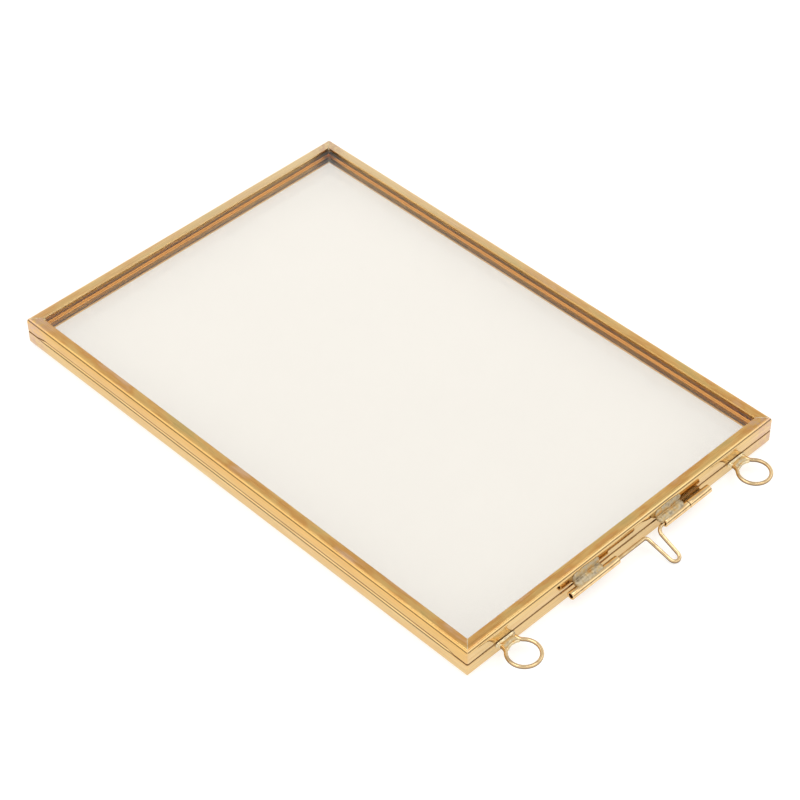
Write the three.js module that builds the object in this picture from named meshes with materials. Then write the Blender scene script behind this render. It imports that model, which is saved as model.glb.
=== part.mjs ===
// A small brass floating frame for a pressed flower or a photograph.
// Two mitred channel frames, each holding a clear pane, lie face to face and are
// hinged along one short side. A sliding wire latch and two hanging rings are
// soldered to the other short side. Millimetres, +Z up, lying on its back.
import * as THREE from 'three';

// ---------------------------------------------------------------- dimensions

// The two half frames
const FRAME_WIDTH = 105;
const FRAME_LENGTH = 155.8;
const HALF_DEPTH = 4.15;
const SEAM_GAP = 0.1;
const SHEET = 0.5; // thickness of the folded brass sheet
const FACE_WIDTH = 3; // width of the channel's front and back faces
const FOLD_RADIUS = 1.2; // outside radius of the sheet's two folds
const MITRE_GAP = 0.04; // each mitred end stops this far short of the corner's diagonal

// The panes
const PANE_THICKNESS = 3;
const PANE_SIDE_GAP = 0.75; // from the pane's edge to the channel's web

// Tubes and wire, one stock for the latch, the hinge and the rings
const TUBE_RADIUS = 1.075;
const BORE_RADIUS = 0.65;
const WIRE_RADIUS = 0.475;

// Latch, along the short side that faces -Y; places are measured from the frame's centre line
const LATCH_OUT = 1.9; // from the side wall to the latch's axis
const LATCH_HEIGHT = 3.8;
const LONG_GUIDE = [-21.1, -5.3];
const SHORT_GUIDE = [10.95, 19.3];
const KEEPER = [19.5, 27];
const WIRE_ENDS = [-12.5, 24.5];
const LOOP_ROOTS = [4.6, 8.3]; // where the thumb loop's two legs leave the axis
const LOOP_TIPS = [5.5, 8.1];
const LOOP_LENGTH = 8.75;
const LOOP_DROOP = THREE.MathUtils.degToRad(22); // the loop hangs until it almost rests on the table
const LOOP_BENDS = [0.9, 1.3, 1.3, 2]; // how far each corner's curve reaches along its sides

// Hanging rings, on the same side, soldered to the back half
const RING_PLACES = [-40.6, 39.1];
const RING_OUT = 5.85; // from the side wall to the ring's centre
const RING_RADIUS = 4; // to the middle of the wire
const RING_HEIGHT = 3.5;
const RING_NECK = 2.15; // half the distance between the ring's two feet
const RING_OPEN_ANGLE = Math.PI / 4; // where the round part ends, from the line to the wall
const RING_FOOT = 1.2; // straight part of each foot

// Hinge, along the short side that faces +Y
const HINGE_OUT = 1.6; // from the side wall to the hinge's axis
const KNUCKLE_LENGTH = 15.6;
const KNUCKLE_GAP = 0.2;
const PIN_HEAD_RADIUS = 0.9;
const PIN_HEAD_LENGTH = 0.4;

// Solder beads. A tube's bead starts at 'seat' from the tube's axis, climbs the wall to
// 'reach' and wraps the tube by 'wrap' radians from the direction straight back to the wall.
const SOLDER_GAP = 0.04; // left between a bead and what it holds
const GUIDE_BEAD = { seat: 0.6, reach: 3.7, wrap: 1.9 };
const LONG_GUIDE_BEAD = [-18.2, -10.2];
const SHORT_GUIDE_BEAD = [10.2, 18];
const KEEPER_BEAD = { seat: 0.2, reach: 2.2, wrap: 1.3 };
const KEEPER_BEAD_ENDS = [20.5, 26];
const KNUCKLE_BEAD = { seat: 0.3, reach: 2.2, wrap: 1.3 };
const KNUCKLE_BEAD_INSET = 1.5; // from each end of the knuckle
const RING_WEB_THICKNESS = 0.8;

// Smoothness
const ROUND_SIDES = 24;
const WIRE_SIDES = 10;
const FOLD_STEPS = 5;
const LATCH_WIRE_STEPS = 130;
const RING_STEPS = 56;

// ---------------------------------------------------------------- derived places

const SEAM = HALF_DEPTH + SEAM_GAP / 2;
const FRONT_BASE = HALF_DEPTH + SEAM_GAP;
const LOOP_REACH = LATCH_OUT + LOOP_LENGTH * Math.cos(LOOP_DROOP) + WIRE_RADIUS;
const HINGE_REACH = HINGE_OUT + TUBE_RADIUS;
// The origin is under the middle of the whole object, so the half frames sit a little towards +Y
const FRAME_SHIFT = (LOOP_REACH - HINGE_REACH) / 2;
const LATCH_WALL = FRAME_SHIFT - FRAME_LENGTH / 2;
const HINGE_WALL = FRAME_SHIFT + FRAME_LENGTH / 2;

// ---------------------------------------------------------------- materials

function finish(color, roughness, metalness, extra = {}) {
  return new THREE.MeshStandardMaterial({ color, roughness, metalness, ...extra });
}

const brass = finish(0xc8a266, 0.3, 1);
const brassWire = finish(0xc9a873, 0.2, 1);
const solder = finish(0xafa596, 0.4, 1);
const glass = finish(0xf2eee6, 0.05, 0, { transparent: true, opacity: 0.3 });

// ---------------------------------------------------------------- shapes

// A piece is a named mesh in one of the three groups that move against each other.
function piece(name, geometry, material, parent) {
  const mesh = new THREE.Mesh(geometry, material);
  mesh.name = name;
  parent.add(mesh);
  return mesh;
}

// The channel's section: x runs in from the side wall, y up from the back face.
function channelSection() {
  const inner = FOLD_RADIUS - SHEET;
  const upper = HALF_DEPTH - FOLD_RADIUS;
  const section = new THREE.Shape();
  section.moveTo(FACE_WIDTH, 0);
  section.lineTo(FACE_WIDTH, SHEET);
  section.lineTo(FOLD_RADIUS, SHEET);
  section.absarc(FOLD_RADIUS, FOLD_RADIUS, inner, -Math.PI / 2, Math.PI, true);
  section.lineTo(SHEET, upper);
  section.absarc(FOLD_RADIUS, upper, inner, Math.PI, Math.PI / 2, true);
  section.lineTo(FACE_WIDTH, HALF_DEPTH - SHEET);
  section.lineTo(FACE_WIDTH, HALF_DEPTH);
  section.lineTo(FOLD_RADIUS, HALF_DEPTH);
  section.absarc(FOLD_RADIUS, upper, FOLD_RADIUS, Math.PI / 2, Math.PI, false);
  section.lineTo(0, FOLD_RADIUS);
  section.absarc(FOLD_RADIUS, FOLD_RADIUS, FOLD_RADIUS, Math.PI, Math.PI * 1.5, false);
  section.closePath();
  return section;
}

// A rail lies along X, centred on x = 0, with its side wall at y = 0 and facing -Y.
// Its ends are cut at 45 degrees, so a point further in from the wall is nearer the middle.
function railGeometry(length) {
  const geometry = new THREE.ExtrudeGeometry(channelSection(), {
    depth: 1,
    steps: 1,
    bevelEnabled: false,
    curveSegments: FOLD_STEPS,
  });
  const points = geometry.attributes.position;
  for (let i = 0; i < points.count; i++) {
    const inward = points.getX(i);
    const height = points.getY(i);
    const reach = length / 2 - inward - MITRE_GAP;
    const side = points.getZ(i) > 0.5 ? 1 : -1;
    points.setXYZ(i, side * reach, inward, height);
  }
  geometry.computeVertexNormals();
  return geometry;
}

// A half frame of four rails and a pane.
function halfFrame(half, base, parent) {
  const sides = [
    ['latch_side', FRAME_WIDTH, FRAME_LENGTH, 0],
    ['right', FRAME_LENGTH, FRAME_WIDTH, 1],
    ['hinge_side', FRAME_WIDTH, FRAME_LENGTH, 2],
    ['left', FRAME_LENGTH, FRAME_WIDTH, 3],
  ];
  for (const [side, length, span, quarterTurns] of sides) {
    const turned = new THREE.Group();
    turned.position.set(0, FRAME_SHIFT, base);
    turned.rotation.z = (quarterTurns * Math.PI) / 2;
    parent.add(turned);
    const rail = piece(`${half}_rail_${side}`, railGeometry(length), brass, turned);
    rail.position.y = -span / 2;
  }
  const margin = 2 * (SHEET + PANE_SIDE_GAP);
  const paneShape = new THREE.BoxGeometry(FRAME_WIDTH - margin, FRAME_LENGTH - margin, PANE_THICKNESS);
  const pane = piece(`${half}_glass_pane`, paneShape, glass, parent);
  pane.position.set(0, FRAME_SHIFT, base + HALF_DEPTH / 2);
}

// A length of tube along X with its middle at x = 0.
function tubeGeometry(length) {
  const profile = [
    new THREE.Vector2(BORE_RADIUS, -length / 2),
    new THREE.Vector2(TUBE_RADIUS, -length / 2),
    new THREE.Vector2(TUBE_RADIUS, length / 2),
    new THREE.Vector2(BORE_RADIUS, length / 2),
    new THREE.Vector2(BORE_RADIUS, -length / 2),
  ];
  return new THREE.LatheGeometry(profile, ROUND_SIDES).rotateZ(-Math.PI / 2);
}

function tube(name, [start, end], y, z, parent) {
  const made = piece(name, tubeGeometry(end - start), brass, parent);
  made.position.set((start + end) / 2, y, z);
}

// A curve in a flat drawing, carried into space by a function of its two coordinates.
class PlacedPath extends THREE.Curve {
  constructor(drawing, place) {
    super();
    this.drawing = drawing;
    this.place = place;
  }
  getPoint(t) {
    const { x, y } = this.drawing.getPoint(t);
    return this.place(x, y);
  }
}

function wireGeometry(path, steps) {
  const corners = [];
  for (let i = 0; i < WIRE_SIDES; i++) {
    const angle = (2 * Math.PI * i) / WIRE_SIDES;
    corners.push(new THREE.Vector2(WIRE_RADIUS * Math.cos(angle), WIRE_RADIUS * Math.sin(angle)));
  }
  const section = new THREE.Shape(corners);
  return new THREE.ExtrudeGeometry(section, { steps, bevelEnabled: false, extrudePath: path });
}

// Straight runs between corners, each corner rounded by a curve of the given reach.
function roundedLine(corners, reaches) {
  const path = new THREE.Path();
  path.moveTo(corners[0].x, corners[0].y);
  reaches.forEach((reach, i) => {
    const [before, corner, after] = corners.slice(i, i + 3);
    const from = corner.clone().add(before.clone().sub(corner).setLength(reach));
    const to = corner.clone().add(after.clone().sub(corner).setLength(reach));
    path.lineTo(from.x, from.y);
    path.quadraticCurveTo(corner.x, corner.y, to.x, to.y);
  });
  const last = corners[corners.length - 1];
  path.lineTo(last.x, last.y);
  return path;
}

// One bent wire: a straight end in the long guide, the thumb loop, and the end that locks.
function latchWire(parent) {
  const corners = [
    new THREE.Vector2(WIRE_ENDS[0], 0),
    new THREE.Vector2(LOOP_ROOTS[0], 0),
    new THREE.Vector2(LOOP_TIPS[0], LOOP_LENGTH),
    new THREE.Vector2(LOOP_TIPS[1], LOOP_LENGTH),
    new THREE.Vector2(LOOP_ROOTS[1], 0),
    new THREE.Vector2(WIRE_ENDS[1], 0),
  ];
  const drawing = roundedLine(corners, LOOP_BENDS);
  const place = (x, out) =>
    new THREE.Vector3(x, -out * Math.cos(LOOP_DROOP), -out * Math.sin(LOOP_DROOP));
  const shape = wireGeometry(new PlacedPath(drawing, place), LATCH_WIRE_STEPS);
  const wire = piece('latch_wire', shape, brassWire, parent);
  wire.position.set(0, LATCH_WALL - LATCH_OUT, LATCH_HEIGHT);
}

// An open ring whose two feet run straight back to the side wall at y = 0.
function ringGeometry() {
  const turn = RING_OPEN_ANGLE;
  const roundEnd = new THREE.Vector2(
    RING_RADIUS * Math.sin(turn),
    RING_OUT - RING_RADIUS * Math.cos(turn),
  );
  const bendOut = roundEnd.y - (roundEnd.x - RING_NECK) * Math.tan(turn);
  const drawing = new THREE.Path();
  drawing.moveTo(-RING_NECK, SOLDER_GAP);
  drawing.lineTo(-RING_NECK, RING_FOOT);
  drawing.quadraticCurveTo(-RING_NECK, bendOut, -roundEnd.x, roundEnd.y);
  const startAngle = -Math.PI / 2 - turn;
  const endAngle = -Math.PI / 2 + turn;
  drawing.absarc(0, RING_OUT, RING_RADIUS, startAngle, endAngle, true);
  drawing.quadraticCurveTo(RING_NECK, bendOut, RING_NECK, RING_FOOT);
  drawing.lineTo(RING_NECK, SOLDER_GAP);
  const place = (x, out) => new THREE.Vector3(x, -out, 0);
  return wireGeometry(new PlacedPath(drawing, place), RING_STEPS);
}

// Solder between a side wall and a tube. The section's x runs out from the wall and its y
// runs from the tube's axis towards the half that the tube belongs to; it ends on the tube
// at the given angle, measured from the direction straight back to the wall.
function beadGeometry(length, axisOut, seat, height, wrap) {
  const round = TUBE_RADIUS + SOLDER_GAP;
  const nearAngle = Math.PI - Math.asin(seat / round);
  const farAngle = Math.PI - wrap;
  const far = new THREE.Vector2(axisOut + round * Math.cos(farAngle), round * Math.sin(farAngle));
  const section = new THREE.Shape();
  section.moveTo(SOLDER_GAP, seat);
  section.lineTo(axisOut + round * Math.cos(nearAngle), seat);
  section.absarc(axisOut, 0, round, nearAngle, farAngle, true);
  section.quadraticCurveTo(far.x / 2, (far.y + height) / 2, SOLDER_GAP, height);
  section.closePath();
  const options = { depth: length, bevelEnabled: false, curveSegments: FOLD_STEPS };
  return new THREE.ExtrudeGeometry(section, options).translate(0, 0, -length / 2);
}

// up is 1 for a bead on the front half and -1 for one on the back half.
function bead(name, [start, end], { wall, facing, out, height }, { seat, reach, wrap }, up, parent) {
  const geometry = beadGeometry(end - start, out, seat, reach, wrap);
  const placed = new THREE.Matrix4().makeBasis(
    new THREE.Vector3(0, facing, 0),
    new THREE.Vector3(0, 0, up),
    new THREE.Vector3(facing * up, 0, 0),
  );
  const made = piece(name, geometry.applyMatrix4(placed), solder, parent);
  made.position.set((start + end) / 2, wall, height);
}

// Solder that fills a ring's neck from the wall out, so that the ring's hole is round.
function ringWebGeometry() {
  const side = RING_NECK - WIRE_RADIUS - SOLDER_GAP;
  const hole = RING_RADIUS - WIRE_RADIUS;
  const halfAngle = Math.asin(side / hole);
  const web = new THREE.Shape();
  web.moveTo(-side, -SOLDER_GAP);
  web.absarc(0, -RING_OUT, hole, Math.PI / 2 + halfAngle, Math.PI / 2 - halfAngle, true);
  web.lineTo(side, -SOLDER_GAP);
  web.closePath();
  const options = { depth: RING_WEB_THICKNESS, bevelEnabled: false, curveSegments: FOLD_STEPS };
  return new THREE.ExtrudeGeometry(web, options).translate(0, 0, -RING_WEB_THICKNESS / 2);
}

// The pin fills the three knuckles and is headed over at both ends.
function pinGeometry(length) {
  const neck = length / 2;
  const end = neck + PIN_HEAD_LENGTH;
  const profile = [
    new THREE.Vector2(0, -end),
    new THREE.Vector2(PIN_HEAD_RADIUS, -end),
    new THREE.Vector2(PIN_HEAD_RADIUS, -neck),
    new THREE.Vector2(WIRE_RADIUS, -neck),
    new THREE.Vector2(WIRE_RADIUS, neck),
    new THREE.Vector2(PIN_HEAD_RADIUS, neck),
    new THREE.Vector2(PIN_HEAD_RADIUS, end),
    new THREE.Vector2(0, end),
  ];
  return new THREE.LatheGeometry(profile, ROUND_SIDES).rotateZ(-Math.PI / 2);
}

// ---------------------------------------------------------------- assembly

const floatingFrame = new THREE.Group();
const backHalf = new THREE.Group();
const frontHalf = new THREE.Group();
const latch = new THREE.Group();
floatingFrame.add(backHalf, frontHalf, latch);

halfFrame('back', 0, backHalf);
halfFrame('front', FRONT_BASE, frontHalf);

// Latch
const latchAxis = { wall: LATCH_WALL, facing: -1, out: LATCH_OUT, height: LATCH_HEIGHT };
const latchY = LATCH_WALL - LATCH_OUT;
tube('latch_guide_tube_long', LONG_GUIDE, latchY, LATCH_HEIGHT, frontHalf);
tube('latch_guide_tube_short', SHORT_GUIDE, latchY, LATCH_HEIGHT, frontHalf);
tube('latch_keeper_tube', KEEPER, latchY, LATCH_HEIGHT, backHalf);
latchWire(latch);
bead('solder_guide_long', LONG_GUIDE_BEAD, latchAxis, GUIDE_BEAD, 1, frontHalf);
bead('solder_guide_short', SHORT_GUIDE_BEAD, latchAxis, GUIDE_BEAD, 1, frontHalf);
bead('solder_keeper', KEEPER_BEAD_ENDS, latchAxis, KEEPER_BEAD, -1, backHalf);

// Hanging rings
['left', 'right'].forEach((side, i) => {
  const ring = piece(`hanging_ring_${side}`, ringGeometry(), brassWire, backHalf);
  ring.position.set(RING_PLACES[i], LATCH_WALL, RING_HEIGHT);
  const web = piece(`solder_ring_${side}`, ringWebGeometry(), solder, backHalf);
  web.position.set(RING_PLACES[i], LATCH_WALL, RING_HEIGHT);
});

// Hinge
const hingeAxis = { wall: HINGE_WALL, facing: 1, out: HINGE_OUT, height: SEAM };
const hingeY = HINGE_WALL + HINGE_OUT;
const knuckleStep = KNUCKLE_LENGTH + KNUCKLE_GAP;
const knuckles = [
  ['front_left', -knuckleStep, 1, frontHalf],
  ['back', 0, -1, backHalf],
  ['front_right', knuckleStep, 1, frontHalf],
];
for (const [name, middle, up, parent] of knuckles) {
  const start = middle - KNUCKLE_LENGTH / 2;
  const end = middle + KNUCKLE_LENGTH / 2;
  const beadEnds = [start + KNUCKLE_BEAD_INSET, end - KNUCKLE_BEAD_INSET];
  tube(`hinge_knuckle_${name}`, [start, end], hingeY, SEAM, parent);
  bead(`solder_knuckle_${name}`, beadEnds, hingeAxis, KNUCKLE_BEAD, up, parent);
}
const pinLength = 3 * KNUCKLE_LENGTH + 4 * KNUCKLE_GAP;
const pin = piece('hinge_pin', pinGeometry(pinLength), brassWire, backHalf);
pin.position.set(0, hingeY, SEAM);

export default floatingFrame;
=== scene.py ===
"""Looks of a small hinged brass floating frame, made around its CAD model."""

import math

import bmesh
import bpy
from mathutils import Matrix, Vector, noise


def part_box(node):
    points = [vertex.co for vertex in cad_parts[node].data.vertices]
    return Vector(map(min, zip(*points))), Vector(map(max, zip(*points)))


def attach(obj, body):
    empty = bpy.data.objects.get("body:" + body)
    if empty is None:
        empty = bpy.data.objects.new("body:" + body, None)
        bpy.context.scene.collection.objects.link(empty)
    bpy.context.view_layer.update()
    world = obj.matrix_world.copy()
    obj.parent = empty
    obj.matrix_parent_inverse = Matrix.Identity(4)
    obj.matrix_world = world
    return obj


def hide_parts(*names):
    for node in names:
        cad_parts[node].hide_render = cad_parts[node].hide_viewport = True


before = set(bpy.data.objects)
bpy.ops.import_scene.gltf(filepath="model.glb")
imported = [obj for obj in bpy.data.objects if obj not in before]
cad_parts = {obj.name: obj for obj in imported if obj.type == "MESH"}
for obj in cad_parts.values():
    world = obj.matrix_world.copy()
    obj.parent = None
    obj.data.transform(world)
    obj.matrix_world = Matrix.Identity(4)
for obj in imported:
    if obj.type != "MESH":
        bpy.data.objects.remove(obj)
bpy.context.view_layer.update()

MM = 0.001


def box_mm(node):
    """Lowest and highest corner of a CAD node, in millimetres."""
    low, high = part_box(node)
    return low / MM, high / MM


# ------------------------------------------------------------------ sizes, in millimetres

LATCH_RAIL = box_mm("front_rail_latch_side")
LEFT_WALL = box_mm("front_rail_left")[0].x
RIGHT_WALL = box_mm("front_rail_right")[1].x
LATCH_WALL = LATCH_RAIL[0].y
HINGE_WALL = box_mm("front_rail_hinge_side")[1].y
MIDDLE_Y = (LATCH_WALL + HINGE_WALL) / 2
FACE_WIDTH = LATCH_RAIL[1].y - LATCH_WALL
HALF_DEPTH = LATCH_RAIL[1].z - LATCH_RAIL[0].z
HALF_BASES = {"back": box_mm("back_rail_latch_side")[0].z, "front": LATCH_RAIL[0].z}
RIM = LATCH_RAIL[1].z
SEAM = (HALF_BASES["front"] + HALF_BASES["back"] + HALF_DEPTH) / 2

# The folded sheet. A fold's reach is how far its round goes from the sharp corner it replaces.
SHEET = 0.5  # its thickness
FOLD_REACH = 1.2
LONG_SEAM_REACH = 1.2
SHORT_SEAM_REACH = 0.45  # the short rails are folded tighter along the seam
CORNER_SEAM_REACH = 0.35  # the solder fills the folds out at the corners
SEAM_EASE = 2.5  # from there the seam fold opens out over this length
LIP_REACH = 0.12
CORNER_RADIUS = 0.45  # the frame's outer corners, filed round
SHEET_WOBBLE = 0.012  # how far the hand-folded sheet strays from flat
LEAN_LENGTH = 14.0  # length of its strays in and out
SWELL_LENGTH = 9.0  # and up and down
WOBBLE_FADE = 8.0  # both die out over this length toward the corners

# The sections that a rail's skin is stretched over.
STRAIGHT_STEP = 1.25
STRAIGHT_MARGIN = 1.0  # the straight run ends this far before the mitre begins
CORNER_STEPS = 7  # from there the sections turn the corner as far as the mitre
CORNER_RUN = 0.4  # they begin this far before it
CORNER_EASE = 0.5  # and nearer to it within this distance of the filed corner

# Wire, tube, pin and pane.
WIRE = (box_mm("hanging_ring_left")[1].z - box_mm("hanging_ring_left")[0].z) / 2  # its radius
WIRE_TIP = 0.18  # length of the filed round at its ends
WIRE_SIDES = 20
BORE = 0.65  # radius of a tube's hole
TUBE_EDGE = 0.1  # rounding of a tube's rims
TUBE_SIDES = 48
PIN_HEAD = 0.4  # thickness of the hinge pin's heads
PANE_EDGE = 0.2  # the ground edges of a pane

# The latch's thumb loop: places along X, and lengths out from the wire's axis.
LOOP_ROOTS = (4.6, 8.3)
LOOP_TIPS = (5.5, 8.1)
LOOP_LENGTH = 8.75
LOOP_DROOP = math.radians(22)  # below level
LOOP_BENDS = (0.9, 1.3, 1.3, 2.0)  # reach of its four bends, in order along the wire

# A hanging ring's centre line, measured out from the wall and sideways from its middle.
RING_OUT = 5.85  # how far out the middle of the round is
RING_RADIUS = 4.0
RING_NECK = 2.15  # how far to either side the feet are
RING_FOOT = 1.2  # how far the feet run straight out
RING_OPEN_ANGLE = math.radians(45)  # the round is open this far either way toward the wall

# Solder.
BORE_CLEARANCE = 0.15  # none of it comes nearer to a bore
BLOB_SPACING = 0.8  # along a tube's bead
LUMP_SIZE = 0.9
LUMP_HEIGHT = 0.09
GRAIN_SIZE = 0.35
GRAIN_HEIGHT = 0.03
MITRE_START = 0.9  # how far in from either side wall the solder on a mitre begins
CORNER_FILLETS = {  # (side wall, end wall): how wide the solder is inside that corner
    (LEFT_WALL, LATCH_WALL): 0.3, (LEFT_WALL, HINGE_WALL): 0.85,
    (RIGHT_WALL, LATCH_WALL): 0.45, (RIGHT_WALL, HINGE_WALL): 0.5,
}

# Colours of the brass. Each pair is where a colour begins and where it is full.
PALING_SPAN = (10.0, 125.0)  # the paling toward the right corner of the hinge side, in X + Y
CREASE_SPAN = (0.34, 0.12)  # the brown painted shade in the crease, away from the seam
LIP_SPAN = (0.45, 0.05)  # the insides' painted shade and bounced-light orange, out from the lips' edges
FACE_SPAN = (0.2, 0.5)  # and down from the outer faces
HEAT_SPAN = (5.0, 0.5)  # the blush of heat, from a corner
HEAT_SHIFT = 3.5  # the torch worked this much more on one end of each rail

# The camera.
CAMERA_TURN = (-44.03, 43.576, -0.647)  # azimuth, elevation and roll, in degrees
CAMERA_AIM = (-3.80, LATCH_WALL + 70.71, SEAM + 0.19)
CAMERA_DISTANCE = 585.84
CAMERA_LENS = 107.55


# ------------------------------------------------------------------ colours

def paint(code):
    """An sRGB hex colour as Blender's linear colour."""
    parts = [int(code[i:i + 2], 16) / 255 for i in (1, 3, 5)]
    linear = [c / 12.92 if c <= 0.04045 else ((c + 0.055) / 1.055) ** 2.4 for c in parts]
    return (*linear, 1.0)


GOLD = paint("#E2B873")
GOLD_PALE = paint("#E3D0A5")
GOLD_DEEP = paint("#D9A25C")
GOLD_OLIVE = paint("#D3B473")
GOLD_ROSE = paint("#DFB488")
# painted shade and bounced light: the deep orange of the channels' insides
INSIDE_PAINTED_ORANGE = paint("#F7AE50")
# painted shade for the crease where the two halves meet
CREASE_SHADE_BROWN = paint("#6E4522")
# the two browns below are painted shade under wire and tube, and the colour of their spots
WIRE_GOLD = paint("#EDCFA0")
WIRE_SHADE_AND_SPOTS = paint("#62431F")
TUBE_GOLD = paint("#E8CA9A")
TUBE_SHADE_AND_SPOTS = paint("#C08F58")
TIN = paint("#C0B296")
TIN_PALE = paint("#DCCBA8")
TIN_GREY = paint("#A69880")
TIN_BRASSY = paint("#C4AB7D")
HEATED = paint("#D3AE94")
# the paler colour that the faces take toward the right corner of the hinge side
CORNER_PALE = paint("#F4DAAC")
PANE_TINT = paint("#F8F7F5")
TABLE_WHITE = paint("#B8B7B5")
TABLE_SHADE = paint("#B4B3B1")
TABLE_GLOW = paint("#FFFEFC")


# ------------------------------------------------------------------ materials

def add(material, kind, inputs=None, stops=None, **settings):
    """Adds a node with its settings; an input is a value or the socket that feeds it."""
    tree = material.node_tree
    made = tree.nodes.new(kind)
    for name, value in settings.items():
        setattr(made, name, value)
    for name, value in (inputs or {}).items():
        if isinstance(value, bpy.types.NodeSocket):
            tree.links.new(value, made.inputs[name])
        else:
            made.inputs[name].default_value = value
    if stops:
        ramp = made.color_ramp
        while len(ramp.elements) < len(stops):
            ramp.elements.new(0.5)
        for element, (place, colour) in zip(ramp.elements, stops):
            element.position, element.color = place, colour
    return made


def new_material(name):
    """A material with no nodes in it yet."""
    material = bpy.data.materials.new(name)
    material.use_nodes = True
    material.node_tree.nodes.clear()
    return material


def per_mm(x, y, z):
    """Mapping scale that gives a pattern these sizes in millimetres along each axis."""
    return tuple(1 / (size * MM) for size in (x, y, z))


def band(material, coordinate, middle, none_at, full_at):
    """A mask by how far a coordinate is from middle: nothing at one distance and full at
    the other, in millimetres."""
    offset = add(material, "ShaderNodeMath", {0: coordinate, 1: middle * MM},
                 operation="SUBTRACT")
    distance = add(material, "ShaderNodeMath", {0: offset.outputs[0]}, operation="ABSOLUTE")
    mask = add(material, "ShaderNodeMapRange",
               {"Value": distance.outputs[0], "From Min": none_at * MM,
                "From Max": full_at * MM})
    return mask.outputs[0]


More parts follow.
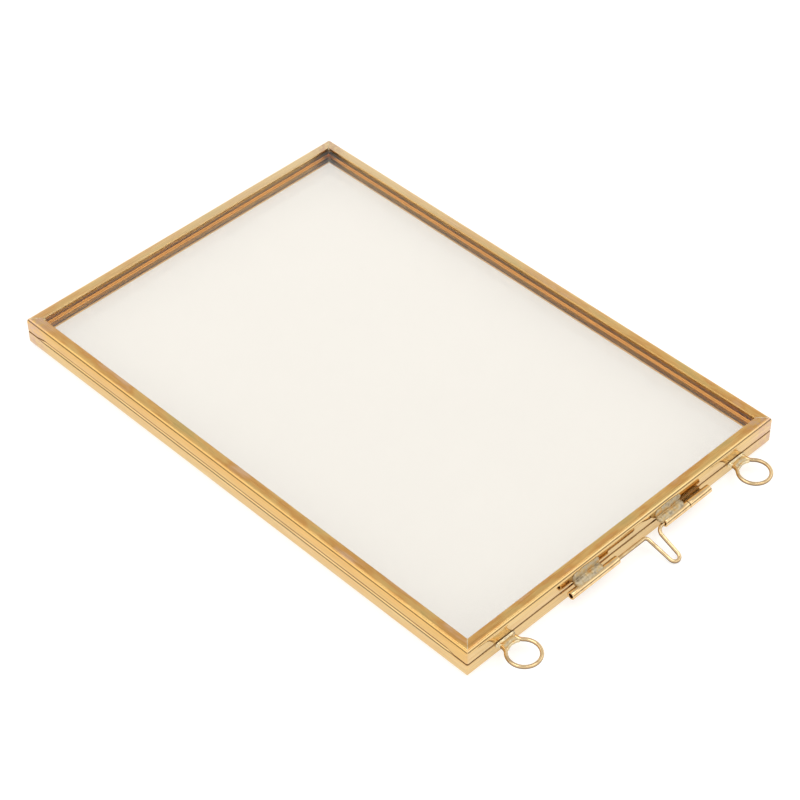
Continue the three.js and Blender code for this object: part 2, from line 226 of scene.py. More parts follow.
def rail_brass(name, along, clean_gold):
    """Folded sheet brass: satin, tarnished front and back faces with lengthwise polishing
    lines, their colour paler toward the right corner of the hinge side, brighter side walls
    that carry clear reflections, insides painted a deep orange as shade and light bounced
    between the brass walls, brown painted shade in the crease where the halves meet, and a
    rosy, tinned look where the corners were heated for soldering."""
    across = "y" if along == "x" else "x"
    middle = {"x": 0.0, "y": MIDDLE_Y}
    half_frame = {"x": RIGHT_WALL, "y": HINGE_WALL - MIDDLE_Y}
    lip_edge = half_frame[across] - FACE_WIDTH
    material = new_material(name)
    place = add(material, "ShaderNodeTexCoord")
    position = add(material, "ShaderNodeSeparateXYZ", {"Vector": place.outputs["Object"]})
    facing = add(material, "ShaderNodeSeparateXYZ", {"Vector": place.outputs["Normal"]})

    def pattern(length, width, detail, roughness=0.5):
        """Noise of this length along the rail and this width across it, in millimetres."""
        size = [length if axis == along else width for axis in "xyz"]
        mapped = add(material, "ShaderNodeMapping",
                     {"Vector": place.outputs["Object"], "Scale": per_mm(*size)})
        return add(material, "ShaderNodeTexNoise",
                   {"Vector": mapped.outputs["Vector"], "Scale": 1.0, "Detail": detail,
                    "Roughness": roughness}).outputs["Fac"]

    lines = pattern(9.0, 0.11, 2.0)  # real polishing lines are finer; these still show
    streaks = pattern(22.0, 0.7, 3.0)
    stains = pattern(14.0, 4.0, 3.0, 0.6)
    waves = pattern(5.0, 5.0, 1.0)
    blotches = pattern(1.1, 1.1, 3.0)

    upright = add(material, "ShaderNodeMath", {0: facing.outputs["Z"]}, operation="ABSOLUTE")
    face = add(material, "ShaderNodeMapRange",
               {"Value": upright.outputs[0], "From Min": 0.75, "From Max": 0.98},
               interpolation_type="SMOOTHSTEP")
    past_lip = band(material, position.outputs[across.upper()], middle[across],
                    lip_edge + LIP_SPAN[0], lip_edge + LIP_SPAN[1])
    under_face = band(material, position.outputs["Z"], SEAM,
                      HALF_DEPTH - FACE_SPAN[0], HALF_DEPTH - FACE_SPAN[1])
    inside = add(material, "ShaderNodeMath", {0: past_lip, 1: under_face}, operation="MULTIPLY")
    crease_shade = band(material, position.outputs["Z"], SEAM, *CREASE_SPAN)
    near_end = band(material, position.outputs[along.upper()], middle[along] - HEAT_SHIFT,
                    half_frame[along] - HEAT_SPAN[0], half_frame[along] - HEAT_SPAN[1])

    tarnish = add(material, "ShaderNodeValToRGB", {"Fac": stains}, stops=[
        (0.33, GOLD_OLIVE), (0.46, GOLD), (0.56, GOLD_DEEP), (0.68, GOLD_ROSE)])
    # the faces get paler toward the right corner of the hinge side, rising with X + Y
    reach = add(material, "ShaderNodeMath",
                {0: position.outputs["X"], 1: position.outputs["Y"]}, operation="ADD")
    paling = add(material, "ShaderNodeMapRange",
               {"Value": reach.outputs[0], "From Min": PALING_SPAN[0] * MM,
                "From Max": PALING_SPAN[1] * MM, "To Max": 0.9})
    paled_tarnish = add(material, "ShaderNodeMix",
                  {"Factor": paling.outputs[0], "A": tarnish.outputs["Color"], "B": CORNER_PALE},
                  data_type="RGBA")
    clean = add(material, "ShaderNodeMix",
                {"Factor": streaks, "A": clean_gold, "B": GOLD}, data_type="RGBA")
    tarnish_share = add(material, "ShaderNodeMapRange",
                        {"Value": face.outputs[0], "To Min": 0.15})
    colour = add(material, "ShaderNodeMix",
                 {"Factor": tarnish_share.outputs[0], "A": clean.outputs["Result"],
                  "B": paled_tarnish.outputs["Result"]}, data_type="RGBA")
    # painted shade: brown in the crease where the halves meet
    crease_shaded = add(material, "ShaderNodeMix",
                  {"Factor": crease_shade, "A": colour.outputs["Result"], "B": CREASE_SHADE_BROWN},
                  data_type="RGBA")
    # painted shade and bounced light: the insides turn a deep orange, as brass lit between brass
    # walls
    inside_painted = add(material, "ShaderNodeMix",
                    {"Factor": inside.outputs[0], "A": crease_shaded.outputs["Result"],
                     "B": INSIDE_PAINTED_ORANGE}, data_type="RGBA")
    blotched = add(material, "ShaderNodeMapRange",
                   {"Value": blotches, "From Min": 0.35, "From Max": 0.55, "To Max": 0.8})
    heated = add(material, "ShaderNodeMath",
                 {0: near_end, 1: blotched.outputs[0]}, operation="MULTIPLY")
    blushed = add(material, "ShaderNodeMath",
                  {0: heated.outputs[0], 1: crease_shade}, operation="SUBTRACT", use_clamp=True)
    tinted = add(material, "ShaderNodeMix",
                 {"Factor": blushed.outputs[0], "A": inside_painted.outputs["Result"], "B": HEATED},
                 data_type="RGBA")
    fade = add(material, "ShaderNodeMapRange",
               {"Value": lines, "From Min": 0.3, "From Max": 0.7, "To Min": 0.86,
                "To Max": 1.05})
    lined = add(material, "ShaderNodeMix",
                {"Factor": 1.0, "A": tinted.outputs["Result"], "B": fade.outputs[0]},
                data_type="RGBA", blend_type="MULTIPLY")

    satin = add(material, "ShaderNodeMapRange",
                {"Value": streaks, "From Min": 0.3, "From Max": 0.7, "To Min": 0.24,
                 "To Max": 0.40})
    mirror = add(material, "ShaderNodeMapRange",
                 {"Value": stains, "From Min": 0.3, "From Max": 0.7, "To Min": 0.07,
                  "To Max": 0.17})
    dulled = add(material, "ShaderNodeMath",
                 {0: face.outputs[0], 1: inside.outputs[0]}, operation="MAXIMUM")
    rough = add(material, "ShaderNodeMix",
                {"Factor": dulled.outputs[0], "A": mirror.outputs[0], "B": satin.outputs[0]})

    groove = add(material, "ShaderNodeMapRange",
                 {"Value": face.outputs[0], "To Min": 0.04, "To Max": 0.5})
    wavy = add(material, "ShaderNodeBump",
               {"Height": waves, "Strength": 0.4, "Distance": 0.008 * MM})
    grooved = add(material, "ShaderNodeBump",
                  {"Height": lines, "Strength": groove.outputs[0], "Distance": 0.003 * MM,
                   "Normal": wavy.outputs["Normal"]})
    shader = add(material, "ShaderNodeBsdfPrincipled",
                 {"Base Color": lined.outputs["Result"], "Metallic": 1.0,
                  "Roughness": rough.outputs["Result"], "Normal": grooved.outputs["Normal"]})
    add(material, "ShaderNodeOutputMaterial", {"Surface": shader.outputs["BSDF"]})
    return material


def drawn_brass(name, bright, shade_and_spots, line_size, shaded_below):
    """Drawn and polished brass, for tube and wire: glossy, with faint draw lines, coarser
    than real ones so that they show, browner in spots, and brown painted shade underneath,
    from one facing height down to the other."""
    material = new_material(name)
    place = add(material, "ShaderNodeTexCoord")
    stretched = add(material, "ShaderNodeMapping",
                    {"Vector": place.outputs["Object"], "Scale": per_mm(*line_size)})
    lines = add(material, "ShaderNodeTexNoise",
                {"Vector": stretched.outputs["Vector"], "Scale": 1.0, "Detail": 2.0})
    spots = add(material, "ShaderNodeTexNoise",
                {"Vector": place.outputs["Object"], "Scale": 1 / (2.4 * MM), "Detail": 3.0})
    facing = add(material, "ShaderNodeSeparateXYZ", {"Vector": place.outputs["Normal"]})
    # painted shade: browner where the surface faces down, from one facing height to the other;
    # the same brown also goes into the spots
    underside_shade = add(material, "ShaderNodeMapRange",
                {"Value": facing.outputs["Z"], "From Min": shaded_below[0],
                 "From Max": shaded_below[1]})
    spotted = add(material, "ShaderNodeMapRange",
                  {"Value": spots.outputs["Fac"], "From Min": 0.45, "From Max": 0.75,
                   "To Max": 0.5})
    share = add(material, "ShaderNodeMath",
                {0: underside_shade.outputs[0], 1: spotted.outputs[0]}, operation="MAXIMUM")
    colour = add(material, "ShaderNodeMix",
                 {"Factor": share.outputs[0], "A": bright, "B": shade_and_spots}, data_type="RGBA")
    rough = add(material, "ShaderNodeMapRange",
                {"Value": spots.outputs["Fac"], "From Min": 0.35, "From Max": 0.7,
                 "To Min": 0.09, "To Max": 0.24})
    bump = add(material, "ShaderNodeBump",
               {"Height": lines.outputs["Fac"], "Strength": 0.4, "Distance": 0.004 * MM})
    shader = add(material, "ShaderNodeBsdfPrincipled",
                 {"Base Color": colour.outputs["Result"], "Metallic": 1.0,
                  "Roughness": rough.outputs[0], "Normal": bump.outputs["Normal"]})
    add(material, "ShaderNodeOutputMaterial", {"Surface": shader.outputs["BSDF"]})
    return material


def tin_solder(name, colours, shine):
    """Tin solder, run on with an iron and left as it set: dull, with brassy patches where
    it is thin, pitted and uneven in its shine."""
    material = new_material(name)
    place = add(material, "ShaderNodeTexCoord")
    patches = add(material, "ShaderNodeTexNoise",
                  {"Vector": place.outputs["Object"], "Scale": 1 / (1.3 * MM), "Detail": 4.0})
    pits = add(material, "ShaderNodeTexNoise",
               {"Vector": place.outputs["Object"], "Scale": 1 / (0.35 * MM), "Detail": 2.0})
    colour = add(material, "ShaderNodeValToRGB", {"Fac": patches.outputs["Fac"]},
                 stops=list(zip((0.34, 0.47, 0.60, 0.74), colours)))
    rough = add(material, "ShaderNodeMapRange",
                {"Value": pits.outputs["Fac"], "From Min": 0.3, "From Max": 0.7,
                 "To Min": shine[0], "To Max": shine[1]})
    lumps = add(material, "ShaderNodeBump",
                {"Height": patches.outputs["Fac"], "Strength": 0.5, "Distance": 0.10 * MM})
    bump = add(material, "ShaderNodeBump",
               {"Height": pits.outputs["Fac"], "Strength": 0.2, "Distance": 0.02 * MM,
                "Normal": lumps.outputs["Normal"]})
    shader = add(material, "ShaderNodeBsdfPrincipled",
                 {"Base Color": colour.outputs["Color"], "Metallic": 1.0,
                  "Roughness": rough.outputs[0], "Normal": bump.outputs["Normal"]})
    add(material, "ShaderNodeOutputMaterial", {"Surface": shader.outputs["BSDF"]})
    return material


def float_glass():
    """Clear float glass with a faint warm cast. Light from the lamps passes straight
    through it, so what lies under the panes stays lit."""
    material = new_material("clear_float_glass")
    rays = add(material, "ShaderNodeLightPath")
    glass = add(material, "ShaderNodeBsdfPrincipled",
                {"Base Color": PANE_TINT, "Roughness": 0.0, "IOR": 1.5,
                 "Transmission Weight": 1.0})
    open_way = add(material, "ShaderNodeBsdfTransparent", {"Color": PANE_TINT})
    passing = add(material, "ShaderNodeMath",
                  {0: rays.outputs["Is Shadow Ray"], 1: rays.outputs["Is Diffuse Ray"]},
                  operation="MAXIMUM")
    mixed = add(material, "ShaderNodeMixShader",
                {0: passing.outputs[0], 1: glass.outputs["BSDF"], 2: open_way.outputs["BSDF"]})
    add(material, "ShaderNodeOutputMaterial", {"Surface": mixed.outputs["Shader"]})
    return material


def white_table():
    """A light table: matt white, glowing enough that what lies on it hardly casts a shadow."""
    material = new_material("white_table")
    place = add(material, "ShaderNodeTexCoord")
    tooth = add(material, "ShaderNodeTexNoise",
                {"Vector": place.outputs["Object"], "Scale": 1 / (30 * MM), "Detail": 2.0})
    colour = add(material, "ShaderNodeMix",
                 {"Factor": tooth.outputs["Fac"], "A": TABLE_WHITE, "B": TABLE_SHADE},
                 data_type="RGBA")
    shader = add(material, "ShaderNodeBsdfPrincipled",
                 {"Base Color": colour.outputs["Result"], "Roughness": 0.9,
                  "Emission Color": TABLE_GLOW, "Emission Strength": 0.68})
    add(material, "ShaderNodeOutputMaterial", {"Surface": shader.outputs["BSDF"]})
    return material


SHORT_RAIL_BRASS = rail_brass("folded_brass_short_rail", "x", GOLD_PALE)
LONG_RAIL_BRASS = {"front": rail_brass("folded_brass_long_rail", "y", GOLD),
                   "back": rail_brass("folded_brass_long_rail_pale", "y", GOLD_PALE)}
TUBE_BRASS = drawn_brass("drawn_brass_tube", TUBE_GOLD, TUBE_SHADE_AND_SPOTS,
                         line_size=(12.0, 0.15, 0.15), shaded_below=(-0.1, -0.7))
WIRE_BRASS = drawn_brass("drawn_brass_wire", WIRE_GOLD, WIRE_SHADE_AND_SPOTS,
                         line_size=(0.4, 0.4, 0.4), shaded_below=(0.6, 0.0))
TIN_SOLDER = tin_solder("tin_solder", (TIN_GREY, TIN, TIN_BRASSY, GOLD_DEEP), (0.42, 0.62))
THIN_SOLDER = tin_solder("thin_tin_solder", (TIN, TIN_PALE, GOLD_PALE, GOLD_DEEP), (0.28, 0.45))
CLEAR_GLASS = float_glass()


# ------------------------------------------------------------------ mesh making

def finish_piece(name, mesh_or_bmesh, material, body, replaced=(), sharp=40):
    """Makes an object of a mesh in millimetres, and puts it on its body."""
    if isinstance(mesh_or_bmesh, bmesh.types.BMesh):
        made = mesh_or_bmesh
    else:
        made = bmesh.new()
        verts, faces = mesh_or_bmesh
        placed = [made.verts.new(v) for v in verts]
        for face in faces:
            made.faces.new([placed[i] for i in face])
    bmesh.ops.remove_doubles(made, verts=made.verts, dist=1e-5)
    bmesh.ops.recalc_face_normals(made, faces=made.faces)
    bmesh.ops.scale(made, vec=(MM, MM, MM), verts=made.verts)
    mesh = bpy.data.meshes.new(name)
    made.to_mesh(mesh)
    made.free()
    mesh.materials.append(material)
    mesh.shade_smooth()
    mesh.set_sharp_from_angle(angle=math.radians(sharp))
    piece = bpy.data.objects.new(name, mesh)
    bpy.context.scene.collection.objects.link(piece)
    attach(piece, body)
    if replaced:
        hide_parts(*replaced)


def skin(rings, closed=False):
    """Vertices and faces of a skin over equal rings of points, capped unless closed."""
    count = len(rings[0])
    verts = [p for ring in rings for p in ring]
    faces = []
    for i in range(len(rings) if closed else len(rings) - 1):
        here, there = i * count, (i + 1) % len(rings) * count
        for j in range(count):
            k = (j + 1) % count
            faces.append((here + j, here + k, there + k, there + j))
    if not closed:
        faces.append(tuple(range(count)))
        faces.append(tuple(range(len(verts) - count, len(verts))))
    return verts, faces


def filleted(corners, steps, closed=False):
    """A line through corners (x, y, reach), each rounded by an arc of so many steps that
    begins and ends at that reach from the corner."""
    points = [Vector(c[:2]) for c in corners]
    line = []
    for i, corner in enumerate(points):
        reach = corners[i][2]
        at_end = not closed and i in (0, len(points) - 1)
        if at_end or not reach:
            line.append(corner)
            continue
        back = (points[i - 1] - corner).normalized()
        ahead = (points[(i + 1) % len(points)] - corner).normalized()
        half = back.angle(ahead) / 2
        centre = corner + (back + ahead).normalized() * (reach / math.cos(half))
        first = corner + back * reach - centre
        turn = first.angle_signed(corner + ahead * reach - centre)
        for step in range(steps + 1):
            swung = first.copy()
            swung.rotate(Matrix.Rotation(-turn * step / steps, 2))
            line.append(centre + swung)
    return line


def divided(line, longest, closed=False):
    """The same line with points added so that no stretch is longer than that."""
    result = []
    for i in range(len(line) if closed else len(line) - 1):
        start, end = line[i], line[(i + 1) % len(line)]
        count = max(1, math.ceil((end - start).length / longest - 1e-6))
        result += [start.lerp(end, k / count) for k in range(count)]
    return result if closed else result + [line[-1]]


def wire_skin(path):
    """A round wire along a path, its two ends filed slightly round."""
    ahead = (path[1] - path[0]).normalized()
    behind = (path[-1] - path[-2]).normalized()
    ends = ((0.0, 0.45), (0.25, 0.8), (1.0, 1.0))  # shares of the tip's length and the radius
    stations = [(path[0] + ahead * WIRE_TIP * d, r) for d, r in ends]
    stations += [(p, 1.0) for p in path[1:-1]]
    stations += [(path[-1] - behind * WIRE_TIP * d, r) for d, r in reversed(ends)]
    side = ahead.orthogonal().normalized()
    rings = []
    for i, (point, share) in enumerate(stations):
        low, high = max(i - 1, 0), min(i + 1, len(stations) - 1)
        along = (stations[high][0] - stations[low][0]).normalized()
        side = (side - along * side.dot(along)).normalized()
        other = along.cross(side)
        ring = []
        for k in range(WIRE_SIDES):
            angle = 2 * math.pi * k / WIRE_SIDES
            spoke = side * math.cos(angle) + other * math.sin(angle)
            ring.append(point + spoke * WIRE * share)
        rings.append(ring)
    return skin(rings)


def turned_along_x(profile, middle):
    """A closed profile of (x, radius) turned about a line along X through middle."""
    rings = []
    for k in range(TUBE_SIDES):
        angle = 2 * math.pi * k / TUBE_SIDES
        rings.append([middle + Vector((p.x, p.y * math.cos(angle), p.y * math.sin(angle)))
                      for p in profile])
    return skin(rings, closed=True)


# ------------------------------------------------------------------ the two half frames

def channel_section(seam_reach):
    """Outline of the folded channel as (inset from the side wall, distance from the outer
    face); every outline has the same number of points, whatever its fold at the seam."""
    top, inner_top = HALF_DEPTH, HALF_DEPTH - SHEET
    inner_seam = max(seam_reach - SHEET, 0.05)
    corners = [
        (FACE_WIDTH, 0, LIP_REACH), (0, 0, FOLD_REACH), (0, top, seam_reach),
        (FACE_WIDTH, top, LIP_REACH), (FACE_WIDTH, inner_top, LIP_REACH),
        (SHEET, inner_top, inner_seam), (SHEET, SHEET, FOLD_REACH - SHEET),
        (FACE_WIDTH, SHEET, LIP_REACH),
    ]
    return filleted(corners, steps=10, closed=True)


def corner_place(inset, share):
    """How far a point of the section is from the frame's outer corner, along the rail and
    inwards, at a share of the way round to the mitre."""
    if inset >= CORNER_RADIUS:
        run = CORNER_RUN * min(1.0, (inset - CORNER_RADIUS) / CORNER_EASE)
        return inset + run * (1 - share), inset
    angle = share * math.pi / 4
    left = CORNER_RADIUS - inset
    return CORNER_RADIUS - left * math.sin(angle), CORNER_RADIUS - left * math.cos(angle)


def rail_rings(length, seam_reach, seed):
    """Sections of a rail that lies along X with its side wall at y = 0, its outer face at
    z = 0 and its mitres at 45 degrees."""
    half = length / 2
    straight = half - FACE_WIDTH - STRAIGHT_MARGIN
    count = math.ceil(2 * straight / STRAIGHT_STEP)
    wide, tight = channel_section(seam_reach), channel_section(CORNER_SEAM_REACH)
    rings = []
    for k in range(count + 1):
        x = -straight + 2 * straight * k / count
        opened = min(1.0, (straight - abs(x)) / SEAM_EASE)
        wobble = SHEET_WOBBLE * min(1.0, (straight - abs(x)) / WOBBLE_FADE)
        lean = noise.noise(Vector((x / LEAN_LENGTH, seed, 0))) * wobble
        ring = []
        for tight_point, wide_point in zip(tight, wide):
            p = tight_point.lerp(wide_point, opened)
            swell = noise.noise(Vector((x / SWELL_LENGTH, seed, p.x + p.y))) * wobble
            ring.append(Vector((x, p.x + lean, p.y + swell)))
        rings.append(ring)
    for end in (-1, 1):
        corner = []
        for k in range(CORNER_STEPS + 1):
            ring = []
            for p in tight:
                from_corner, inward = corner_place(p.x, k / CORNER_STEPS)
                ring.append(Vector((end * (half - from_corner), inward, p.y)))
            corner.append(ring)
        rings = corner[::-1] + rings if end < 0 else rings + corner
    return rings


def make_half(half):
    """Four mitred channels, laid round the opening, and the pane that they hold."""
    width, length = RIGHT_WALL - LEFT_WALL, HINGE_WALL - LATCH_WALL
    face, up = (RIM, -1) if half == "front" else (HALF_BASES["back"], 1)
    sides = (
        ("latch_side", width, length, SHORT_SEAM_REACH, SHORT_RAIL_BRASS),
        ("right", length, width, LONG_SEAM_REACH, LONG_RAIL_BRASS[half]),
        ("hinge_side", width, length, SHORT_SEAM_REACH, SHORT_RAIL_BRASS),
        ("left", length, width, LONG_SEAM_REACH, LONG_RAIL_BRASS[half]),
    )
    for turn, (side, rail_length, span, seam_reach, material) in enumerate(sides):
        placed = Matrix.Translation((0, MIDDLE_Y, face))
        placed = placed @ Matrix.Rotation(turn * math.pi / 2, 4, "Z")
        placed = placed @ Matrix.Translation((0, -span / 2, 0)) @ Matrix.Diagonal((1, 1, up, 1))
        rings = rail_rings(rail_length, seam_reach, turn + face)
        rings = [[placed @ p for p in ring] for ring in rings]
        finish_piece(f"{half}_{side}_channel", skin(rings), material, f"{half}_frame",
                     (f"{half}_rail_{side}",), sharp=50)

    low, high = box_mm(f"{half}_glass_pane")
    pane = bmesh.new()
    bmesh.ops.create_cube(pane, size=1.0)
    for vert in pane.verts:
        vert.co = (low + high) / 2 + vert.co * (high - low)
    bmesh.ops.bevel(pane, geom=pane.edges[:], offset=PANE_EDGE, segments=2, affect="EDGES")
    finish_piece(f"{half}_pane", pane, CLEAR_GLASS, f"{half}_frame",
                 (f"{half}_glass_pane",), sharp=20)


# ------------------------------------------------------------------ tubes and wires

def make_tube(node, body):
    """A tube cut square, its rims rounded by filing."""
    low, high = box_mm(node)
    radius = (high.z - low.z) / 2
    corners = [
        (low.x, BORE, TUBE_EDGE), (low.x, radius, TUBE_EDGE),
        (high.x, radius, TUBE_EDGE), (high.x, BORE, TUBE_EDGE),
    ]
    profile = divided(filleted(corners, steps=4, closed=True), 3.0, closed=True)
    middle = Vector((0, (low.y + high.y) / 2, (low.z + high.z) / 2))
    finish_piece(f"{node}_polished", turned_along_x(profile, middle), TUBE_BRASS, body,
                 (node,))


def make_latch_wire():
    """One wire that runs through the tubes, bent out between them into a thumb loop."""
    low, high = box_mm("latch_wire")
    axis = Vector((0, high.y - WIRE, high.z - WIRE))
    corners = [
        (low.x, 0, 0),
        (LOOP_ROOTS[0], 0, LOOP_BENDS[0]), (LOOP_TIPS[0], LOOP_LENGTH, LOOP_BENDS[1]),
        (LOOP_TIPS[1], LOOP_LENGTH, LOOP_BENDS[2]), (LOOP_ROOTS[1], 0, LOOP_BENDS[3]),
        (high.x, 0, 0),
    ]
    flat = divided(filleted(corners, steps=14), 0.5)
    out = Vector((0, -math.cos(LOOP_DROOP), -math.sin(LOOP_DROOP)))
    path = [axis + Vector((p.x, 0, 0)) + out * p.y for p in flat]
    finish_piece("latch_wire_polished", wire_skin(path), WIRE_BRASS, "latch",
                 ("latch_wire",), sharp=60)


def ring_line():
    """Half of the ring's centre line, from its foot at the wall to its far point."""
    def on_round(angle):
        """A point of the round, by its angle from the point nearest to the wall."""
        return Vector((RING_RADIUS * math.sin(angle), RING_OUT - RING_RADIUS * math.cos(angle)))

    turn = RING_OPEN_ANGLE
    foot = Vector((RING_NECK, 0.1))
    knee = Vector((RING_NECK, RING_FOOT))
    joint = on_round(turn)
    bend = Vector((RING_NECK, joint.y - (joint.x - RING_NECK) * math.tan(turn)))
    line = [foot]
    for k in range(8):
        t = k / 8
        line.append(knee.lerp(bend, t).lerp(bend.lerp(joint, t), t))
    line += [on_round(turn + (math.pi - turn) * k / 36) for k in range(37)]
    return line


def make_ring(side):
    """A hanging ring, its two feet against the wall."""
    node = f"hanging_ring_{side}"
    low, high = box_mm(node)
    centre = Vector(((low.x + high.x) / 2, LATCH_WALL, (low.z + high.z) / 2))
    half = ring_line()
    whole = [Vector((-p.x, p.y)) for p in half] + half[-2::-1]
    path = [centre + Vector((p.x, -p.y, 0)) for p in whole]
    finish_piece(f"{node}_polished", wire_skin(path), WIRE_BRASS, "back_frame",
                 (node,), sharp=60)


def make_pin():
    """The hinge pin, headed over at both ends."""
    low, high = box_mm("hinge_pin")
    head = (high.z - low.z) / 2
    corners = [
        (low.x, 0, 0), (low.x, head, 0.3), (low.x + PIN_HEAD, head, 0.05),
        (low.x + PIN_HEAD, WIRE, 0), (high.x - PIN_HEAD, WIRE, 0),
        (high.x - PIN_HEAD, head, 0.05), (high.x, head, 0.3), (high.x, 0, 0),
    ]
    profile = divided(filleted(corners, steps=5), 4.0)
    middle = Vector((0, (low.y + high.y) / 2, (low.z + high.z) / 2))
    finish_piece("hinge_pin_polished", turned_along_x(profile, middle), WIRE_BRASS, "back_frame",
                 ("hinge_pin",))


# ------------------------------------------------------------------ solder

def melted(name, blobs, material, body, replaced, seed, voxel=0.11, roughening=1.0,
           bore_axis=None):
    """Solder run together from blobs (centre, radii), in millimetres, then set. None of it
    runs into the bore of the tube that it holds."""
    lumps = bmesh.new()
    for centre, radii in blobs:
        placed = Matrix.Translation(centre) @ Matrix.Diagonal((*radii, 1))
        bmesh.ops.create_icosphere(lumps, subdivisions=3, radius=1.0, matrix=placed)
    raw = bpy.data.meshes.new("raw_solder")
    lumps.to_mesh(raw)
    lumps.free()
    holder = bpy.data.objects.new("raw_solder", raw)
    bpy.context.scene.collection.objects.link(holder)
    melt = holder.modifiers.new("melt", "REMESH")
    melt.mode, melt.voxel_size = "VOXEL", voxel
    calm = holder.modifiers.new("calm", "SMOOTH")
    calm.factor, calm.iterations = 0.6, 9
    graph = bpy.context.evaluated_depsgraph_get()
    set_mesh = bpy.data.meshes.new_from_object(holder.evaluated_get(graph))
    made = bmesh.new()
    made.from_mesh(set_mesh)
    made.normal_update()
    for vert in made.verts:
        bump = noise.noise(vert.co / LUMP_SIZE + Vector((seed, 0, 0))) * LUMP_HEIGHT
        bump += noise.noise(vert.co / GRAIN_SIZE + Vector((0, seed, 0))) * GRAIN_HEIGHT
        vert.co += vert.normal * bump * roughening
        if bore_axis:
            out = Vector((vert.co.y - bore_axis[0], vert.co.z - bore_axis[1]))
            if out.length < BORE + BORE_CLEARANCE:
                out = out.normalized() * (BORE + BORE_CLEARANCE)
                vert.co.y, vert.co.z = bore_axis[0] + out.x, bore_axis[1] + out.y
    bpy.data.objects.remove(holder)
    bpy.data.meshes.remove(set_mesh)
    bpy.data.meshes.remove(raw)
    finish_piece(name, made, material, body, replaced, sharp=180)


def make_tube_solder(node, tube, wall, half, seed):
    """A bead that fills the corner between a side wall and a tube along the CAD bead's
    length, climbs the wall to the CAD bead's edge and laps over the tube."""
    facing = math.copysign(1, wall - MIDDLE_Y)
    up = 1 if half == "front" else -1
    low, high = box_mm(node)
    tube_low, tube_high = box_mm(tube)
    axis_y, axis_z = (tube_low.y + tube_high.y) / 2, (tube_low.z + tube_high.z) / 2
    radius = (tube_high.z - tube_low.z) / 2
    out = abs(axis_y - wall)
    top = (high.z - axis_z) if up > 0 else (axis_z - low.z)
    count = max(4, round((high.x - low.x) / BLOB_SPACING))
    blobs = []
    for k in range(count):
        share = (k + 0.5) / count
        x = low.x + (high.x - low.x) * share
        ragged = noise.noise(Vector((seed, k * 0.7, 0)))
        swell = 0.82 + 0.22 * math.sin(math.pi * share) + 0.15 * ragged
        valley = Vector((x, wall + facing * out * 0.45, axis_z + up * radius * 0.95))
        blobs.append((valley, (0.9, out * 0.52, 0.8 * swell)))
        over = Vector((x, axis_y - facing * radius * 0.35, axis_z + up * radius * 0.82))
        blobs.append((over, (0.8, 0.72 * swell, 0.48)))
        middle = (radius + top) / 2
        up_wall = Vector((x, wall + facing * 0.12, axis_z + up * middle))
        blobs.append((up_wall, (0.9, 0.45 * swell, (top - radius) / 2 * swell)))
    melted(f"{node}_run", blobs, TIN_SOLDER, f"{half}_frame", (node,), seed,
           bore_axis=(axis_y, axis_z))


def make_ring_solder(side, seed):
    """Solder that fills the ring's neck as far as its round hole and clings round its feet."""
    node = f"solder_ring_{side}"
    low, high = box_mm(f"hanging_ring_{side}")
    middle = (low.x + high.x) / 2
    height = (low.z + high.z) / 2
    blobs = []
    for foot in (-RING_NECK, RING_NECK):  # round each foot, at the wall and along the foot
        x = middle + foot
        blobs.append((Vector((x, LATCH_WALL - 0.05, height)), (1.05, 0.5, 0.74)))
        blobs.append((Vector((x, LATCH_WALL - 0.6, height)), (0.64, 0.7, 0.60)))
    for k in range(9):  # across the neck, at the round, half way to it and at the wall
        x = (k - 4) * 0.45
        rim = RING_OUT - math.sqrt((RING_RADIUS - WIRE * 0.4) ** 2 - x * x)
        blobs.append((Vector((middle + x, LATCH_WALL - rim, height - 0.05)), (0.5, 0.42, 0.42)))
        blobs.append((Vector((middle + x, LATCH_WALL - rim / 2, height)), (0.55, rim / 2, 0.46)))
        blobs.append((Vector((middle + x, LATCH_WALL - 0.05, height + 0.1)), (0.6, 0.36, 0.62)))
    melted(f"{node}_run", blobs, THIN_SOLDER, "back_frame", (node,), seed, roughening=0.6)


def make_corner_solder(half, face, inward, seed):
    """Solder standing a little proud of the mitres on the outer face, with a fillet inside
    each corner of the opening."""
    blobs = []
    for (wall_x, wall_y), width in CORNER_FILLETS.items():
        across = Vector((math.copysign(1, -wall_x), math.copysign(1, MIDDLE_Y - wall_y), 0))
        corner = Vector((wall_x, wall_y, face))
        for k in range(18):
            inset = MITRE_START + (FACE_WIDTH - MITRE_START) * k / 17
            place = corner + across * inset + Vector((0, 0, inward * 0.07))
            blobs.append((place, (0.15, 0.15, 0.13)))
        inner = corner + across * (FACE_WIDTH - 0.1) + Vector((0, 0, inward * 0.5))
        blobs.append((inner, (width, width, 0.32)))
    melted(f"{half}_corner_solder", blobs, THIN_SOLDER, f"{half}_frame", (), seed, voxel=0.07,
           roughening=0.4)


# ------------------------------------------------------------------ assembly

make_half("back")
make_half("front")
make_corner_solder("back", HALF_BASES["back"], 1, 21)
make_corner_solder("front", RIM, -1, 22)

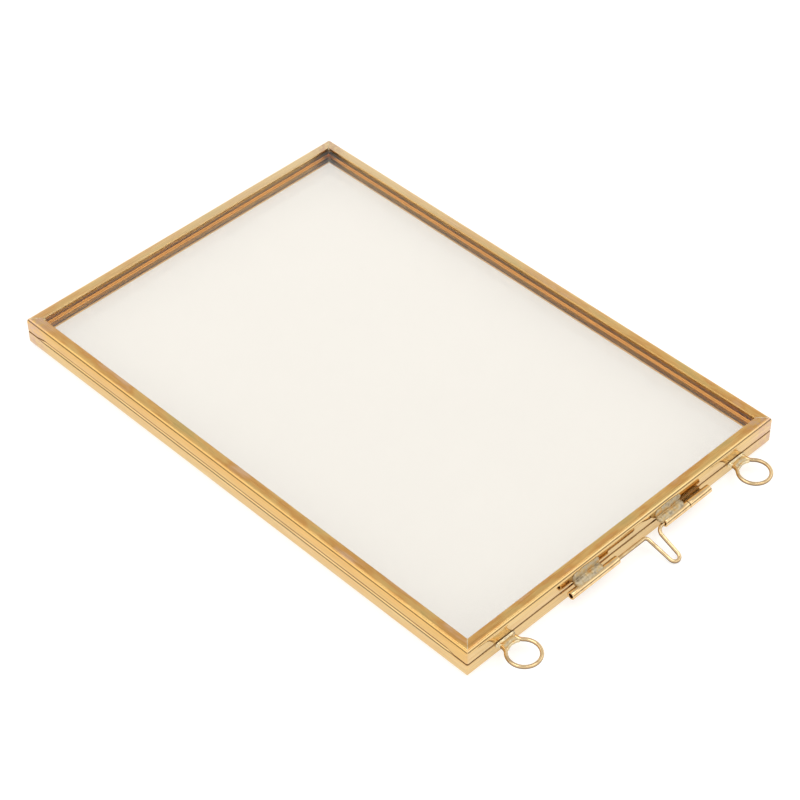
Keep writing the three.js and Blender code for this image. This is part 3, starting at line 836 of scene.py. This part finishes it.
TUBES = (  # each tube, its solder, the wall that it is on and the half that it moves with
    ("latch_guide_tube_long", "solder_guide_long", LATCH_WALL, "front"),
    ("latch_guide_tube_short", "solder_guide_short", LATCH_WALL, "front"),
    ("latch_keeper_tube", "solder_keeper", LATCH_WALL, "back"),
    ("hinge_knuckle_back", "solder_knuckle_back", HINGE_WALL, "back"),
    ("hinge_knuckle_front_left", "solder_knuckle_front_left", HINGE_WALL, "front"),
    ("hinge_knuckle_front_right", "solder_knuckle_front_right", HINGE_WALL, "front"),
)
for tube_node, _, _, tube_half in TUBES:
    make_tube(tube_node, f"{tube_half}_frame")
make_latch_wire()
make_pin()
for ring_side in ("left", "right"):
    make_ring(ring_side)
make_ring_solder("left", 3)
make_ring_solder("right", 8)
for solder_seed, (tube_node, bead_node, tube_wall, tube_half) in enumerate(TUBES, start=11):
    make_tube_solder(bead_node, tube_node, tube_wall, tube_half, solder_seed)


# ------------------------------------------------------------------ table, light and camera

def make_table():
    """A round light table under everything, a hair below the frame."""
    bpy.ops.mesh.primitive_circle_add(vertices=96, radius=1.6, fill_type="NGON",
                                      location=(0, 0, -0.02 * MM))
    table = bpy.context.object
    table.name = "table"
    table.data.materials.append(white_table())


def make_studio():
    """A pale, even room. On the two sides that the folds of the frame catch, it is dim at
    the horizon and has a soft bright panel above."""
    world = bpy.data.worlds.new("studio")
    bpy.context.scene.world = world
    world.use_nodes = True
    world.node_tree.nodes.clear()
    direction = add(world, "ShaderNodeTexCoord")
    parts = add(world, "ShaderNodeSeparateXYZ", {"Vector": direction.outputs["Generated"]})
    ceiling = [(0.60, (1.0, 0.99, 0.97, 1)), (0.76, (0.68, 0.68, 0.67, 1)),
               (1.0, (0.75, 0.75, 0.75, 1))]
    even = add(world, "ShaderNodeValToRGB", {"Fac": parts.outputs["Z"]}, stops=[
        (0.0, (0.90, 0.89, 0.88, 1)), *ceiling])
    dim = add(world, "ShaderNodeValToRGB", {"Fac": parts.outputs["Z"]}, stops=[
        (0.0, (0.16, 0.14, 0.12, 1)), (0.17, (0.24, 0.22, 0.20, 1)),
        (0.36, (1.0, 0.98, 0.96, 1)), *ceiling])
    sideways = add(world, "ShaderNodeMath",
                   {0: parts.outputs["X"], 1: parts.outputs["Y"]}, operation="SUBTRACT")
    either_side = add(world, "ShaderNodeMath", {0: sideways.outputs[0]}, operation="ABSOLUTE")
    panel_side = add(world, "ShaderNodeMapRange",
                     {"Value": either_side.outputs[0], "From Min": 0.5, "From Max": 1.0},
                     interpolation_type="SMOOTHSTEP")
    dim_side = add(world, "ShaderNodeMapRange",
                   {"Value": either_side.outputs[0], "From Min": 1.05, "From Max": 1.3},
                   interpolation_type="SMOOTHSTEP")
    room = add(world, "ShaderNodeMix",
               {"Factor": dim_side.outputs[0], "A": even.outputs["Color"],
                "B": dim.outputs["Color"]}, data_type="RGBA")
    panel = add(world, "ShaderNodeValToRGB", {"Fac": parts.outputs["Z"]}, stops=[
        (0.44, (0.0, 0.0, 0.0, 1)), (0.53, (0.8, 0.79, 0.77, 1)), (0.63, (0.8, 0.79, 0.77, 1)),
        (0.74, (0.0, 0.0, 0.0, 1))])
    lit = add(world, "ShaderNodeMix",
              {"Factor": panel_side.outputs[0], "A": room.outputs["Result"],
               "B": panel.outputs["Color"]}, data_type="RGBA", blend_type="ADD")
    rays = add(world, "ShaderNodeLightPath")
    seen = add(world, "ShaderNodeMix",
               {"Factor": rays.outputs["Is Camera Ray"], "A": lit.outputs["Result"],
                "B": (1.0, 1.0, 1.0, 1)}, data_type="RGBA")
    sky = add(world, "ShaderNodeBackground", {"Color": seen.outputs["Result"], "Strength": 1.0})
    add(world, "ShaderNodeOutputWorld", {"Surface": sky.outputs["Background"]})


def make_lamp(name, place):
    """A soft box that looks at the middle of the table."""
    lamp = bpy.data.lights.new(name, "AREA")
    lamp.shape, lamp.size, lamp.size_y = "RECTANGLE", 1.2, 0.8
    lamp.energy = 6.0
    lamp.color = (1.0, 0.985, 0.96)
    holder = bpy.data.objects.new(name, lamp)
    holder.location = place
    holder.rotation_euler = (-Vector(place)).to_track_quat("-Z", "Y").to_euler()
    bpy.context.scene.collection.objects.link(holder)


def make_camera():
    """Looks down on the latch side's left corner."""
    azimuth, elevation, roll = (math.radians(a) for a in CAMERA_TURN)
    away = Vector((math.sin(azimuth) * math.cos(elevation),
                   -math.cos(azimuth) * math.cos(elevation), math.sin(elevation)))
    level = (-away).cross(Vector((0, 0, 1))).normalized()
    lift = level.cross(-away)
    right = level * math.cos(roll) + lift * math.sin(roll)
    up = lift * math.cos(roll) - level * math.sin(roll)
    aim = Vector(CAMERA_AIM) * MM
    camera = bpy.data.objects.new("camera", bpy.data.cameras.new("camera"))
    camera.data.sensor_width = 36
    camera.data.lens = CAMERA_LENS
    camera.data.clip_start, camera.data.clip_end = 0.02, 20
    turn = Matrix((right, up, away)).transposed().to_4x4()
    camera.matrix_world = Matrix.Translation(aim + away * CAMERA_DISTANCE * MM) @ turn
    bpy.context.scene.collection.objects.link(camera)
    bpy.context.scene.camera = camera


make_table()
make_studio()
make_lamp("left_lamp", (-0.75, 0.35, 1.9))
make_lamp("right_lamp", (0.35, -0.75, 1.9))
make_camera()
bpy.context.scene.view_settings.view_transform = "Standard"
